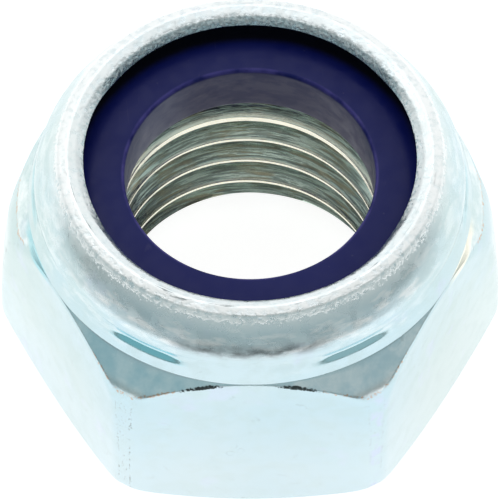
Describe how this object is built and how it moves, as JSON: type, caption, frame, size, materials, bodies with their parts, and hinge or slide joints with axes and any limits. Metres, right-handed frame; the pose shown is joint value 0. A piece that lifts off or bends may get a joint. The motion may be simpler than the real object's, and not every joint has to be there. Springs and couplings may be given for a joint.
{
  "type": "threaded nut",
  "caption": "Hexagon lock nut of zinc-plated steel with a nylon ring held under a rolled collar, for a bolt that must not shake loose.",
  "frame": {"origin": "on the thread axis in the plane of the bearing face, which is also the middle of the base of the bounding box", "axes": "+Z along the thread axis from the bearing face to the collar; two corners of the hexagon lie on X and two flats face along Y"},
  "size_m": [0.0272, 0.024, 0.0159],
  "materials": {
    "zinc_steel": "bright blue-white zinc plating with light scuffs",
    "blue_nylon": "semi-gloss dark blue"
  },
  "bodies": {
    "root": {"nut_body": "zinc_steel", "nylon_ring": "blue_nylon"}
  },
  "joints": []
}
